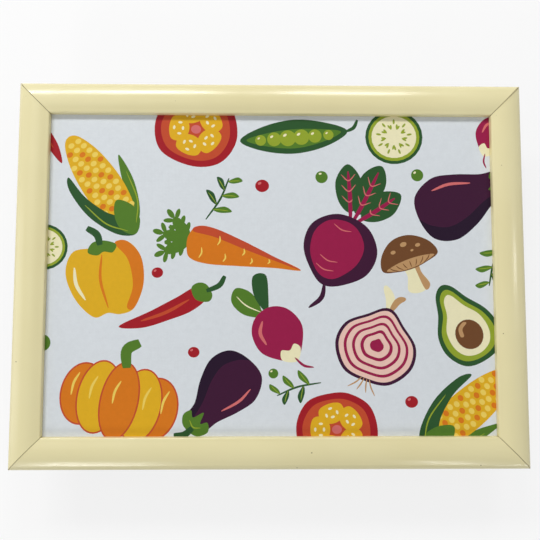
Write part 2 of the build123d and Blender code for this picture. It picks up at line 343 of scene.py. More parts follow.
bare = math_node(tree, "LESS_THAN", z, lip_underside)
for distance, half in zip(from_middle, rebate_half):
    bare = math_node(tree, "MULTIPLY", bare, math_node(tree, "LESS_THAN", distance, half))
bare = math_node(tree, "MAXIMUM", bare, math_node(tree, "LESS_THAN", z, foot_top))
grain = noise_at(tree, place, 900, detail=3, roughness=0.7)
raw_wood = two_tone(tree, grain, 0.32, 0.68, (166, 132, 94), (198, 166, 126))
colour = mix(tree, mitre_line, colour, linear(126, 106, 62))
colour = mix(tree, bare, colour, raw_wood)
bare_or_cut = math_node(tree, "MAXIMUM", bare, mitre_line)
drive(tree, shader, colour, mix_values(tree, bare_or_cut, sheen_noise, 0.85))

for side in sides:
    dress(nodes[f"{side}_rail"], cream)
print("dressed", len(sides), "rails")

# %% [markdown]
# ## The print: outlines
# The print is flat colour, cut as if with scissors: vegetables and leaves scattered over a
# bluish white. Each shape is an outline through a few points. A closed curve through them
# rounds the shape, and a stroke is a line with a width that thins towards its ends.

# %% Outlines for the print
def through(a, b, c, d, t):
    """A point between b and c on a smooth curve through four points."""
    return 0.5 * (
        2 * b + (c - a) * t + (2 * a - 5 * b + 4 * c - d) * t**2 + (3 * b - a - 3 * c + d) * t**3
    )


def rounded(points, steps=7):
    """A closed smooth outline through a few points."""
    p = [Vector(point) for point in points]
    n = len(p)
    return [
        through(p[i - 1], p[i], p[(i + 1) % n], p[(i + 2) % n], step / steps)
        for i in range(n)
        for step in range(steps)
    ]


def oval(x, y, width, height, turn=0.0, count=26):
    """An ellipse, by its middle and its full width and height."""
    spin = Matrix.Rotation(math.radians(turn), 2)
    return [
        Vector((x, y))
        + spin @ Vector((width / 2 * math.cos(a), height / 2 * math.sin(a)))
        for a in (2 * math.pi * i / count for i in range(count))
    ]


def stroke(points, width, thin=0.25, steps=6):
    """A brush stroke along a smooth line, thinnest at both ends."""
    p = [Vector(point) for point in points]
    p = [2 * p[0] - p[1]] + p + [2 * p[-1] - p[-2]]
    line = [
        through(p[i - 1], p[i], p[i + 1], p[i + 2], step / steps)
        for i in range(1, len(p) - 2)
        for step in range(steps)
    ] + [p[-2]]
    left, right = [], []
    for i, here in enumerate(line):
        along = (line[min(i + 1, len(line) - 1)] - line[max(i - 1, 0)]).normalized()
        side = Vector((-along.y, along.x))
        share = i / (len(line) - 1)
        half = width / 2 * (thin + (1 - thin) * math.sin(math.pi * share) ** 0.6)
        left.append(here + side * half)
        right.append(here - side * half)
    return left + right[::-1]


def turned(outline, degrees, about=(0, 0)):
    """The same outline, turned and then set on a point of the motif."""
    spin = Matrix.Rotation(math.radians(degrees), 2)
    return [spin @ point + Vector(about) for point in outline]


inks = {
    "paper": (223, 228, 232),
    "crimson": (164, 30, 40),
    "coral": (196, 78, 48),
    "rose": (214, 112, 112),
    "blush": (240, 200, 186),
    "orange": (218, 122, 32),
    "gold": (226, 176, 38),
    "butter": (240, 210, 98),
    "cream": (242, 235, 194),
    "lime": (148, 166, 50),
    "leaf": (84, 124, 42),
    "forest": (44, 84, 44),
    "plum": (60, 20, 50),
    "aubergine": (34, 14, 38),
    "magenta": (154, 30, 74),
    "brown": (112, 72, 42),
    "tan": (192, 150, 104),
}
print(len(inks), "inks")

# %% [markdown]
# ## The print: roots
# Each motif is drawn upright around its own middle, in millimetres. It is a function that
# yields inks with outlines, the lowest first, so that the next shape lies on the last. A
# leaf or a frond is drawn once and turned around the crown. An onion's rings are one
# outline, drawn again and again at a smaller size.

# %% Roots
def carrot():
    crown = (0, 36)
    for turn in (38, -38, 0):
        yield "forest", turned(stroke([(0, -2), (0.6, 14), (0, 27)], 2.6, thin=0.4), turn, crown)
        yield "leaf", turned(oval(0, 13, 10, 22, 0, 16), turn, crown)
        yield "leaf", turned(oval(0, 28, 4.6, 9, 0, 14), turn, crown)
        for y in (8, 15, 22):
            for side in (-1, 1):
                leaflet = oval(side * 4.6, y + 2.4, 9, 3.8, side * 36, 14)
                yield "leaf", turned(leaflet, turn, crown)
    yield "orange", rounded([(0, -58), (5, -34), (11, -6), (15, 20), (13, 34), (4, 39), (-6, 38),
                             (-14, 33), (-15, 18), (-10, -8), (-4, -36)])
    yield "coral", rounded([(0, -58), (5, -34), (11, -6), (15, 20), (13, 34), (8, 36), (8, 18),
                            (5, -6), (2, -34)])
    wrinkles = ((26, -12, 9), (14, 2, 8), (6, -10, 7), (-8, -1, 6), (-16, -6, 5), (-30, -2, 4))
    for y, x, length in wrinkles:
        yield "butter", stroke([(x, y), (x + length / 2, y - 1.2), (x + length, y)], 1.3)


def beetroot():
    crown = (0, 20)
    for turn, length in ((27, 52), (-33, 50), (-3, 57)):
        blade = [(0, 11), (-9, 21), (-10.5, length - 13), (0, length), (10.5, length - 13), (9, 21)]
        stem = stroke([(0, -2), (0.8, 22), (0, length - 6)], 3.6, thin=0.3)
        yield "forest", turned(rounded(blade), turn, crown)
        yield "magenta", turned(stem, turn, crown)
        for y in (20, 29, 38):
            yield "rose", turned(stroke([(-6, y + 5.5), (0, y), (6, y + 5.5)], 1.0), turn, crown)
    yield "plum", rounded([(0, -34), (14, -28), (29, -12), (30, 8), (17, 23), (0, 27), (-17, 23),
                           (-30, 8), (-28, -12), (-13, -28)])
    yield "magenta", rounded([(-2, -28), (8, -24), (18, -8), (18, 8), (8, 19), (-4, 22), (-18, 17),
                              (-25, 4), (-22, -12), (-12, -24)])
    yield "plum", stroke([(0, -31), (3, -44), (-3, -56)], 4.0, thin=0.2)
    for y in (-20, -12, 16):
        yield "rose", stroke([(-13, y), (-5, y - 2), (3, y)], 1.0)


def radish():
    yield "leaf", rounded([(-2, 16), (-12, 24), (-14, 36), (-6, 42), (1, 32)])
    yield "forest", rounded([(2, 16), (10, 26), (16, 38), (8, 42), (1, 30)])
    yield "cream", stroke([(-1, 18), (-7, 28), (-9, 37)], 0.9)
    yield "magenta", rounded([(0, -22), (9, -16), (17, -4), (15, 10), (6, 18), (-6, 18), (-15, 10),
                              (-17, -4), (-9, -16)])
    yield "cream", rounded([(0, -23), (7, -17), (5, -12), (0, -14), (-5, -11), (-8, -17)])
    yield "rose", stroke([(-11, -2), (-10, 7), (-4, 13)], 2.4)
    yield "magenta", stroke([(0, -20), (2, -28), (7, -33)], 1.8, thin=0.2)


def onion_half():
    ring = [(0, -28), (18, -25), (30, -9), (28, 8), (14, 20), (4, 28), (-4, 28), (-14, 20),
            (-28, 8), (-30, -9), (-18, -25)]
    yield "cream", stroke([(0, 26), (-2, 36), (-9, 44)], 7)
    yield "tan", stroke([(1, 26), (4, 36), (9, 40)], 5)
    bands = (("plum", 1.0), ("blush", 0.92), ("magenta", 0.8), ("blush", 0.73), ("magenta", 0.6),
             ("blush", 0.53), ("magenta", 0.4), ("blush", 0.32), ("magenta", 0.17))
    for ink, share in bands:
        yield ink, [p * share for p in rounded(ring)]
    for x in (-6, -2, 2, 6):
        yield "tan", stroke([(x * 0.5, -26), (x, -31), (x * 1.8, -36)], 1.1)


print("drew carrot, beetroot, radish, onion half")

# %% [markdown]
# ## The print: fleshy vegetables
# These have one plain body, shown round by a darker side and a light stroke. Both follow the
# body's own points, because a shadow that crosses the outline would spoil the flat look.

# %% Fleshy vegetables
def aubergine():
    yield "plum", rounded([(0, -47), (20, -42), (29, -24), (24, -2), (14, 18), (11, 34),
                           (-9, 36), (-15, 18), (-24, -2), (-29, -22), (-20, -42)])
    yield "aubergine", rounded([(0, -47), (20, -42), (29, -24), (24, -2), (14, 18), (11, 34),
                                (6, 34), (8, 14), (15, -8), (16, -26), (8, -40)])
    yield "rose", stroke([(-19, -26), (-18, -10), (-11, 8)], 2.6)
    yield "leaf", rounded([(-14, 32), (-8, 25), (-3, 30), (1, 20), (6, 30), (12, 26), (15, 34),
                           (8, 42), (-7, 42)])
    yield "forest", stroke([(0, 38), (2, 48), (9, 55)], 6.5, thin=0.7)
    yield "lime", stroke([(-6, 33), (0, 37), (7, 34)], 1.2)


def bell_pepper():
    yield "gold", rounded([(-4, -30), (6, -33), (18, -30), (29, -12), (31, 10), (22, 25), (8, 24),
                           (0, 20), (-10, 25), (-24, 24), (-32, 8), (-28, -14), (-16, -31)])
    yield "orange", rounded([(18, -30), (29, -12), (31, 10), (22, 25), (12, 25), (20, 10),
                             (20, -12), (12, -28)])
    yield "orange", stroke([(0, 18), (-5, -2), (-3, -26)], 2.4)
    yield "cream", stroke([(-24, 12), (-25, -2), (-20, -16)], 3.0)
    yield "leaf", rounded([(-11, 22), (-4, 18), (2, 20), (9, 18), (13, 24), (4, 29), (-6, 29)])
    yield "forest", stroke([(0, 26), (-1, 35), (-8, 42)], 6.0, thin=0.7)


def chilli():
    yield "crimson", rounded([(-38, -16), (-20, -14), (0, -4), (16, 6), (25, 18), (15, 24), (2, 14),
                              (-16, 0)])
    yield "coral", stroke([(-22, -9), (-4, 1), (12, 14)], 2.6)
    yield "leaf", rounded([(12, 23), (17, 15), (27, 15), (29, 21), (23, 28), (16, 28)])
    yield "forest", stroke([(24, 23), (33, 29), (36, 37)], 4.2, thin=0.6)


def pumpkin():
    lobes = ((-30, 34, 48, "orange"), (30, 34, 48, "orange"), (-17, 33, 57, "gold"),
             (17, 33, 57, "gold"), (0, 29, 61, "orange"))
    for x, width, height, ink in lobes:
        yield "coral", oval(x, -3, width + 2.6, height + 2.6, 0, 40)
        yield ink, oval(x, -3, width, height, 0, 40)
    for x in (-39, -24, -5, 20, 35):
        yield "butter", stroke([(x + 3, 13), (x, 4), (x, -6)], 2.0)
    yield "leaf", stroke([(0, 24), (-3, 38), (6, 46)], 9, thin=0.7)


print("drew aubergine, bell pepper, chilli, pumpkin")

# %% [markdown]
# ## The print: halves and slices
# A cut vegetable is skin, flesh and seeds, one inside another. The seeds are small ovals,
# set around the middle by a loop, which keeps them even.

# %% Halves and slices
def tomato_half():
    yield "crimson", rounded([(0, -30), (22, -25), (33, -6), (28, 17), (12, 28), (-4, 29),
                              (-24, 22), (-33, 2), (-26, -20)])
    yield "coral", rounded([(0, -25), (18, -21), (27, -5), (23, 14), (10, 23), (-4, 24), (-20, 18),
                            (-28, 1), (-21, -17)])
    pocket = rounded([(4, 6), (10, 11), (9, 19), (0, 21.5), (-9, 19), (-10, 11), (-4, 6)], 5)
    for turn in range(18, 378, 72):
        yield "gold", turned(pocket, turn)
        for x, y in ((-4.5, 13), (0, 17.5), (4.5, 13), (0, 10.5)):
            yield "cream", turned(oval(x, y, 3.4, 2.0, 60 * x, 10), turn)
    yield "rose", oval(0, 0, 8, 7)


def cucumber_slice():
    yield "forest", oval(0, 0, 46, 44)
    yield "lime", oval(0, 0, 41, 39)
    yield "cream", oval(0, 0, 36, 34)
    for turn in range(0, 360, 40):
        for x, y in ((0, 12.5), (2.4, 8.5), (-2.4, 8.0)):
            yield "lime", turned(oval(x, y, 1.7, 4.2, 0, 10), turn)


def avocado_half():
    yield "forest", rounded([(0, -35), (17, -31), (27, -15), (25, 4), (15, 22), (8, 37), (0, 42),
                             (-9, 36), (-16, 20), (-26, 3), (-27, -15), (-17, -31)])
    yield "lime", rounded([(0, -31), (15, -27), (23, -14), (21, 3), (12, 19), (6, 33), (0, 37),
                           (-7, 32), (-12, 18), (-22, 3), (-23, -14), (-15, -27)])
    yield "cream", rounded([(0, -27), (12, -23), (18, -12), (17, 3), (9, 17), (4, 29), (0, 32),
                            (-5, 28), (-9, 16), (-17, 3), (-18, -12), (-12, -23)])
    yield "brown", oval(0, -8, 25, 27)
    yield "tan", rounded([(-8, -6), (-6, 1), (0, 4), (3, 2), (-3, -1), (-5, -7)])


print("drew tomato half, cucumber slice, avocado half")

# %% [markdown]
# ## The print: pods, cobs and caps
# Rows make these: peas in a pod, grains on a cob, gills under a cap. A loop places each row,
# and only a few numbers change along it.

# %% Pods, cobs and caps
def pea_pod():
    yield "forest", rounded([(-50, 2), (-30, 13), (0, 18), (30, 13), (50, 3), (30, -9), (0, -14),
                             (-30, -9)])
    yield "leaf", rounded([(-44, 2), (-26, 7), (0, 9), (26, 7), (44, 3), (26, -5), (0, -9),
                           (-26, -5)])
    for i, size in enumerate((10, 13, 15, 14.5, 12.5, 9.5)):
        x = -31 + 12.6 * i
        yield "lime", oval(x, 1, size, size)
        yield "cream", oval(x - size * 0.16, 1 + size * 0.2, size * 0.26, size * 0.16, 30, 10)
    yield "forest", stroke([(49, 3), (56, 6), (60, 13)], 3.4, thin=0.5)


def corn():
    yield "leaf", rounded([(0, -48), (14, -38), (25, -12), (27, 14), (20, 2), (12, -18), (0, -34)])
    yield "gold", rounded([(0, -40), (12, -32), (17, -6), (15, 24), (8, 46), (0, 52), (-8, 46),
                           (-15, 24), (-17, -6), (-12, -32)])
    for row in range(14):
        y = -34 + 6.0 * row
        wide = 3 if row in (0, 11, 12) else 2 if row == 13 else 4
        for i in range(wide):
            x = (i - (wide - 1) / 2) * 7.2 + (0.9 if row % 2 else -0.9)
            yield "butter" if (row + i) % 3 else "orange", oval(x, y, 5.6, 4.6, 0, 12)
    yield "forest", rounded([(0, -52), (-14, -42), (-25, -16), (-26, 12), (-20, 22), (-18, 0),
                             (-10, -22), (2, -38)])
    yield "leaf", rounded([(0, -52), (10, -44), (12, -30), (3, -18), (-6, -28), (-8, -42)])
    yield "lime", stroke([(-4, -46), (-16, -30), (-22, -6)], 1.2)
    yield "lime", stroke([(6, -44), (18, -28), (24, -2)], 1.2)


def mushroom():
    yield "cream", rounded([(-8, 4), (8, 4), (7, -10), (11, -24), (0, -29), (-11, -24), (-7, -10)])
    yield "tan", rounded([(3, 4), (8, 4), (7, -10), (11, -24), (5, -28), (3, -12)])
    yield "brown", rounded([(-28, 2), (-24, 16), (-10, 27), (8, 27), (24, 16), (29, 2), (16, -3),
                            (0, -5), (-16, -3)])
    yield "tan", rounded([(-24, 1), (-14, 4), (0, 5), (14, 4), (25, 1), (12, -3), (0, -4),
                          (-12, -3)])
    for x in range(-18, 19, 6):
        yield "brown", stroke([(x * 0.7, -3), (x, 0), (x * 1.15, 3)], 0.9)
    for x, y, size in ((-12, 16, 5), (0, 20, 6.5), (13, 15, 5), (6, 12, 3)):
        yield "tan", oval(x, y, size, size * 0.7)


print("drew pea pod, corn, mushroom")

# %% [markdown]
# ## The print: small motifs
# Sprigs, peppercorns and peas fill the gaps that the large motifs leave, as in any
# scattered pattern.

# %% Small motifs
def sprig():
    yield "forest", stroke([(0, -24), (2, 0), (-1, 22)], 2.0, thin=0.5)
    for y, side, size in ((-12, 1, 17), (-6, -1, 16), (4, 1, 15), (10, -1, 13), (19, 1, 12)):
        x, reach = 1.8 - 2.6 * (y / 22) ** 2, side * size
        blade = [(x, y), (x + reach * 0.45, y + 0.5), (x + reach, y + 7), (x + reach * 0.5, y + 8)]
        yield "leaf" if side > 0 else "forest", rounded(blade, 6)
        yield "lime", stroke([(x, y), (x + reach * 0.5, y + 4), (x + reach * 0.8, y + 6)], 0.8)


def peppercorn():
    yield "crimson", oval(0, 0, 11, 10)
    yield "rose", oval(-2, 2, 3, 2, 30, 10)


def pea():
    yield "leaf", oval(0, 0, 12, 12)
    yield "cream", oval(-2.4, 2.6, 3, 2, 30, 10)


print("drew sprig, peppercorn, pea")

# %% [markdown]
# ## The print: layout
# The motifs are scattered at all angles and run off the sheet's edges under the frame, as
# on a cloth cut from a roll. Each one has a place, a turn and a size.

# %% Layout
layout = [
    (corn, -147, 76, 35, 1.0), (tomato_half, -66, 126, -5, 1.1), (pea_pod, 20, 118, 5, 0.95),
    (cucumber_slice, 108, 120, 0, 1.1), (aubergine, 172, 66, -65, 1.0), (sprig, -46, 65, -30, 0.9),
    (carrot, -33, 18, 75, 1.05), (bell_pepper, -142, -3, 12, 1.05), (beetroot, 60, 22, -25, 1.05),
    (mushroom, 121, 8, 20, 0.9), (chilli, -86, -36, -10, 1.1), (radish, 6, -52, 35, 1.25),
    (avocado_half, 167, -46, 30, 0.96), (onion_half, 91, -62, -20, 1.15),
    (pumpkin, -128, -106, -12, 1.05), (aubergine, -45, -106, 140, 0.88),
    (tomato_half, 56, -133, 0, 1.05), (corn, 168, -117, -50, 1.0),
    (cucumber_slice, -196, 22, -10, 0.9), (sprig, 23, -99, 105, 0.85), (pea, 44, 84, -20, 0.9),
    (peppercorn, -8, 76, 0, 1.1), (pea, -195, -60, 0, 1.2), (peppercorn, 120, -110, 0, 1.0),
    (pea, 128, 86, 0, 0.9), (peppercorn, -98, 0, 5, 0.9), (radish, 196, 122, -25, 0.9),
    (chilli, -200, 128, 95, 0.9), (sprig, 195, 8, 160, 0.9), (pea, 2, -86, 0, 0.7),
    (peppercorn, -66, -68, 0, 0.9),
]
sheet_low, sheet_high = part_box("print_sheet")
edge_x, edge_y = sheet_high.x / mm, sheet_high.y / mm
sheet_outline = [(-edge_x, -edge_y), (edge_x, -edge_y), (edge_x, edge_y), (-edge_x, edge_y)]
shapes = [("paper", [Vector(corner) for corner in sheet_outline])]
for motif, x, y, turn, size in layout:
    spin = Matrix.Rotation(math.radians(turn), 2) * size
    for ink, outline in motif():
        placed = [spin @ point + Vector((x, y)) for point in outline]
        if sum(a.cross(b) for a, b in zip(placed, placed[1:] + placed[:1])) < 0:
            placed.reverse()
        shapes.append((ink, placed))
print(len(layout), "motifs,", len(shapes), "shapes")

# %% [markdown]
# ## The print: one sheet
# Stacked films of colour would flicker where they lie almost in one plane. So all the
# outlines are cut into one flat sheet, where each triangle takes the ink of the highest
# shape over it. The inks are stored at the triangles' corners, so their edges stay sharp.

# %% The printed sheet
def add_piece(bm, name, node, body="cushion", smooth=True):
    """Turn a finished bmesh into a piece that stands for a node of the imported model."""
    piece = add_object(bm, name)
    for polygon in piece.data.polygons:
        polygon.use_smooth = smooth
    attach(piece, body)
    if node:
        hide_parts(node)
    return piece


def verts_of(parts):
    """The vertices among what an operator gives back."""
    return [part for part in parts if isinstance(part, bmesh.types.BMVert)]


points, outlines = [], []
for ink, outline in shapes:
    outlines.append(list(range(len(points), len(points) + len(outline))))
    points += outline
triangles_inside, nearly_equal = 1, 1e-4
cut_points, _, cut_faces, _, _, under = geometry.delaunay_2d_cdt(
    points, [], outlines, triangles_inside, nearly_equal, True
)

print_bm = bmesh.new()
ink_layer = print_bm.loops.layers.float_color.new("ink")
corners = [print_bm.verts.new((p.x * mm, p.y * mm, sheet_high.z)) for p in cut_points]
for face, shapes_under in zip(cut_faces, under):
    if 0 not in shapes_under:
        continue
    made = print_bm.faces.new([corners[i] for i in face])
    for loop in made.loops:
        loop[ink_layer] = linear(*inks[shapes[max(shapes_under)][0]])
bmesh.ops.delete(print_bm, geom=[v for v in print_bm.verts if not v.link_faces], context="VERTS")
if print_bm.faces[:][0].normal.z < 0:
    bmesh.ops.reverse_faces(print_bm, faces=print_bm.faces)
top = list(print_bm.faces)
lowered = bmesh.ops.extrude_face_region(print_bm, geom=top, use_keep_orig=True)["geom"]
bmesh.ops.translate(print_bm, verts=verts_of(lowered), vec=(0, 0, sheet_low.z - sheet_high.z))
bmesh.ops.recalc_face_normals(print_bm, faces=print_bm.faces)
for face in print_bm.faces:
    if face.normal.z < 0.5:
        for loop in face.loops:
            loop[ink_layer] = linear(*inks["paper"])
printed_sheet = add_piece(print_bm, "printed_sheet", "print_sheet", "tray", smooth=False)
print(len(printed_sheet.data.polygons), "faces in the printed sheet")

# %% [markdown]
# ## The print's surface
# The sheet is embossed like linen and lightly laminated. Two sets of fine ridges cross,
# each a little uneven, and the inks are faintly mottled, as ink is on a rough ground.

# %% Embossed print
ridges_per_metre = 255
emboss_depth = 0.07 * mm

embossed, tree, shader, place = start_material("embossed_print", roughness=0.3)
ink = put(tree, "ShaderNodeAttribute", attribute_name="ink").outputs["Color"]
mottle = spread(tree, noise_at(tree, place, 260, detail=4, roughness=0.6), 0.3, 0.7, 0.97, 1.02)
drive(tree, shader, shaded(tree, ink, mottle))
sockets = {"Vector": place, "Scale": ridges_per_metre, "Distortion": 1.4, "Detail": 2.0}
sockets["Detail Scale"] = 0.6
ridges = [
    put(tree, "ShaderNodeTexWave", sockets, bands_direction=direction).outputs["Fac"]
    for direction in ("X", "Y")
]
wobble = noise_at(tree, place, 90, detail=2)
linen = math_node(tree, "MULTIPLY", math_node(tree, "ADD", *ridges), wobble)
raise_by(tree, shader, linen, emboss_depth, 0.6)
shader.inputs["Specular IOR Level"].default_value = 0.12
dress(printed_sheet, embossed)
print("embossed", ridges_per_metre, "ridges to the metre each way")

# %% [markdown]
# ## Cushion: cutting the cloth
# The cushion's cover is two like panels of plain-woven cotton, sewn together all round.
# They are cut flat here too. Each corner is cut a little narrower, as cushion makers do,
# because a square one would stick out as an ear. Cloth that is cut flat and then filled
# puckers beside its seam by itself, which a box with rounded edges never does. A touch of
# unevenness gives the puckers somewhere to start.

# %% Cut the cushion's panels
half_cut = Vector((219, 165)) * mm
corner_taper = 8 * mm
corner_round = 26 * mm
columns, rows = 80, 60
seam_start = 25 * mm
panels_apart = 1 * mm
unevenness = 0.1

panels = bmesh.new()
bmesh.ops.create_grid(panels, x_segments=columns, y_segments=rows, size=1)
column_of = panels.verts.layers.int.new("column")
row_of = panels.verts.layers.int.new("row")
is_top = panels.faces.layers.int.new("is_top")
cloth_uv = panels.loops.layers.uv.new("cloth")
corner_middle = half_cut - Vector((1, 1)) * (corner_taper + corner_round)
for v in panels.verts:
    v[column_of] = round((v.co.x + 1) / 2 * columns)
    v[row_of] = round((v.co.y + 1) / 2 * rows)
    x = abs(v.co.x) * (half_cut.x - corner_taper * v.co.y**2)
    y = abs(v.co.y) * (half_cut.y - corner_taper * v.co.x**2)
    beyond = Vector((x, y)) - corner_middle
    if min(beyond) > 0:
        x, y = corner_middle + beyond * (max(beyond) / beyond.length)
    v.co = (math.copysign(x, v.co.x), math.copysign(y, v.co.y), seam_start)
for face in panels.faces:
    face[is_top] = 1
    for loop in face.loops:
        loop[cloth_uv].uv = loop.vert.co.xy
top_panel = panels.verts[:] + panels.edges[:] + panels.faces[:]
copied = bmesh.ops.duplicate(panels, geom=top_panel)["geom"]
lower = [part for part in copied if isinstance(part, bmesh.types.BMFace)]
bmesh.ops.reverse_faces(panels, faces=lower)
for face in lower:
    face[is_top] = 0
for face in panels.faces:
    for v in face.verts:
        if not v.is_boundary:
            v.co.z = seam_start + (panels_apart if face[is_top] else -panels_apart) / 2
bmesh.ops.remove_doubles(panels, verts=panels.verts, dist=0.01 * mm)
random.seed(3)
for v in panels.verts:
    v.co.z += random.uniform(-unevenness, unevenness) * mm
cell_width = 2 * half_cut.x / columns
print(len(panels.faces), "cells of cloth, about", round(cell_width / mm, 1), "mm wide")

# %% [markdown]
# ## Cushion: filling it
# The cloth is blown up like a pillow. It can't pass the table below or the tray above, so
# both faces come out flat, and its sides are drawn in as they round. The seam's thread is
# pulled a little shorter than the cloth, which gathers it.

# %% Fill the cushion
def plate(name, height):
    """A flat plate that the cloth can't pass."""
    plate_bm = bmesh.new()
    bmesh.ops.create_grid(plate_bm, x_segments=8, y_segments=8, size=0.4)
    bmesh.ops.translate(plate_bm, verts=plate_bm.verts, vec=(0, 0, height))
    if height > seam_start:
        bmesh.ops.reverse_faces(plate_bm, faces=plate_bm.faces)
    made = add_object(plate_bm, name)
    made.modifiers.new("stop", "COLLISION")
    made.collision.thickness_outer = 1 * mm
    made.collision.thickness_inner = 10 * mm
    made.collision.cloth_friction = 2
    return made


cells_from_seam = [
    min(v[column_of], columns - v[column_of], v[row_of], rows - v[row_of]) for v in panels.verts
]
blown = add_object(panels, "blown")
gathered = blown.vertex_groups.new(name="gathered")
for index, cells in enumerate(cells_from_seam):
    gathered.add([index], max(0.0, 1 - cells / 4), "REPLACE")
plates = [plate("under_plate", 0.0), plate("over_plate", 2 * seam_start)]

cloth = blown.modifiers.new("cloth", "CLOTH")
cloth.settings.quality = 6
cloth.settings.mass = 0.05
cloth.settings.tension_stiffness = 50
cloth.settings.compression_stiffness = 12
cloth.settings.shear_stiffness = 6
cloth.settings.bending_stiffness = 0.1
cloth.settings.air_damping = 3
cloth.settings.vertex_group_shrink = "gathered"
cloth.settings.shrink_max = 0.008
cloth.settings.use_pressure = True
cloth.settings.uniform_pressure_force = 4
cloth.settings.effector_weights.gravity = 0
cloth.collision_settings.distance_min = 0.5 * mm
cloth.collision_settings.collision_quality = 3
last_frame = 30
cloth.point_cache.frame_end = last_frame
for moment in range(1, last_frame + 1):
    bpy.context.scene.frame_set(moment)
settled = blown.evaluated_get(bpy.context.evaluated_depsgraph_get())
filled = bpy.data.meshes.new_from_object(settled)
for used in (blown, *plates):
    bpy.data.objects.remove(used)
bpy.context.scene.frame_set(1)
print("the filled cushion is", round(2 * max(v.co.x for v in filled.vertices) / mm), "mm long")

# %% [markdown]
# ## Cushion: making it fit
# Three rounds of smoothing open any pucker so sharp that the cloth would meet itself. The
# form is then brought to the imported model's size: its sides to the seam, its two faces to
# the tray above and the table below. Each point moves by its share of the way, so the
# puckers keep their shape.

# %% Fit the cushion
smoothing_rounds = 3
seam_height = 28 * mm
seam_half = Vector((206, 152)) * mm
flat_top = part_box("loop_strip_front")[0].z - 0.05 * mm

form = bmesh.new()
form.from_mesh(filled)
for _ in range(smoothing_rounds):
    bmesh.ops.smooth_vert(
        form, verts=form.verts, factor=0.5, use_axis_x=True, use_axis_y=True, use_axis_z=True
    )
column_of = form.verts.layers.int["column"]
row_of = form.verts.layers.int["row"]
is_top = form.faces.layers.int["is_top"]
at = {(face[is_top], v[column_of], v[row_of]): v for face in form.faces for v in face.verts}
long_now = at[1, columns, rows // 2].co.x - at[1, 0, rows // 2].co.x
deep_now = at[1, columns // 2, rows].co.y - at[1, columns // 2, 0].co.y
grow_x, grow_y = 2 * seam_half.x / long_now, 2 * seam_half.y / deep_now
lowest, highest = min(v.co.z for v in form.verts), max(v.co.z for v in form.verts)
for v in form.verts:
    if v.co.z > seam_start:
        share = (v.co.z - seam_start) / (highest - seam_start)
        z = seam_height + (flat_top - seam_height) * share
    else:
        z = seam_height * (1 - (seam_start - v.co.z) / (seam_start - lowest))
    v.co = (v.co.x * grow_x, v.co.y * grow_y, z)
print("stretched by", round(grow_x, 3), "along and", round(grow_y, 3), "across")

# %% [markdown]
# ## Cushion: a slot for the zip
# The zip sits in a straight slot along the back seam, and blown cloth is nowhere straight.
# So the cells next to the seam are moved onto the slot's edges, and their neighbours follow
# less and less, over some cells, which keeps the cloth smooth.

# %% Ease the cloth onto the slot
zip_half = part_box("zip_tape_upper")[1].x
slot_half_height = 6 * mm
slot_edge_draw = 1 * mm
cells_along, cells_deep = 6, 8


def fade(cells, reach):
    """1 where it starts, and smoothly down to 0 over so many cells."""
    share = max(0.0, 1 - cells / reach)
    return share * share * (3 - 2 * share)


first = min(range(columns), key=lambda c: abs(at[1, c, rows].co.x + zip_half))
last = min(range(columns), key=lambda c: abs(at[1, c, rows].co.x - zip_half))
drawn_y = seam_half.y - slot_edge_draw
slot_lines = [
    (0, rows - 1, drawn_y, seam_height - slot_half_height),
    (1, rows - 1, drawn_y, seam_height + slot_half_height),
    (1, rows, seam_half.y, seam_height),
]
for half, back_row, y, z in slot_lines:
    moves = {}
    for c in range(first, last + 1):
        x = -zip_half + 2 * zip_half * (c - first) / (last - first)
        moves[c] = Vector((x, y, z)) - at[half, c, back_row].co
    for c in range(first - cells_along, last + cells_along + 1):
        inside = min(max(c, first), last)
        move = moves[inside] * fade(abs(c - inside), cells_along)
        for deep in range(cells_deep if back_row < rows else 1):
            at[half, c, back_row - deep].co += move * fade(deep, cells_deep)
print("the zip's slot spans", last - first, "cells")

# %% [markdown]
# ## Cushion: inner bag and beads
# The beads are in a thin bag of their own, so that the cover can be washed. Both have the
# cover's form, each a little further in. The bag is a shell with the thickness of its
# cloth, and one lumpy body stands for the thousands of beads.

# %% Inner bag and bead fill
bag_depth, bag_thickness = 1.3 * mm, 0.5 * mm
bead_depth = 2.1 * mm


def drawn_in(depth):
    """The cushion's closed form, drawn in all round."""
    inner = form.copy()
    inner.normal_update()
    for v in inner.verts:
        v.co -= v.normal * depth
    return inner


def thicken(piece, thickness):
    """Give a sheet its thickness, inwards from its outer face."""
    wall = piece.modifiers.new("wall", "SOLIDIFY")
    wall.thickness = thickness
    wall.offset = -1


bag = add_piece(drawn_in(bag_depth), "bead_bag", "inner_bag")
thicken(bag, bag_thickness)
beads = add_piece(drawn_in(bead_depth), "beads", "bead_fill")
print("the bag has", len(bag.data.polygons), "cells and a wall of", bag_thickness / mm, "mm")

# %% [markdown]
# ## Cushion: cover panels
# The form is parted at its seam into the two panels, and the zip's slot is opened. Along
# every cut edge the cloth is turned inwards, as a seam allowance or a hem is, so the seam
# shows as a fine valley between two folds.

# %% Cover panels
cover_thickness = 0.8 * mm
allowance = 3 * mm
hem_rise = 0.3 * mm
slot_cells = [
    face for face in form.faces
    if min(v[row_of] for v in face.verts) == rows - 1
    and first <= min(v[column_of] for v in face.verts) < last
]
bmesh.ops.delete(form, geom=slot_cells, context="FACES")

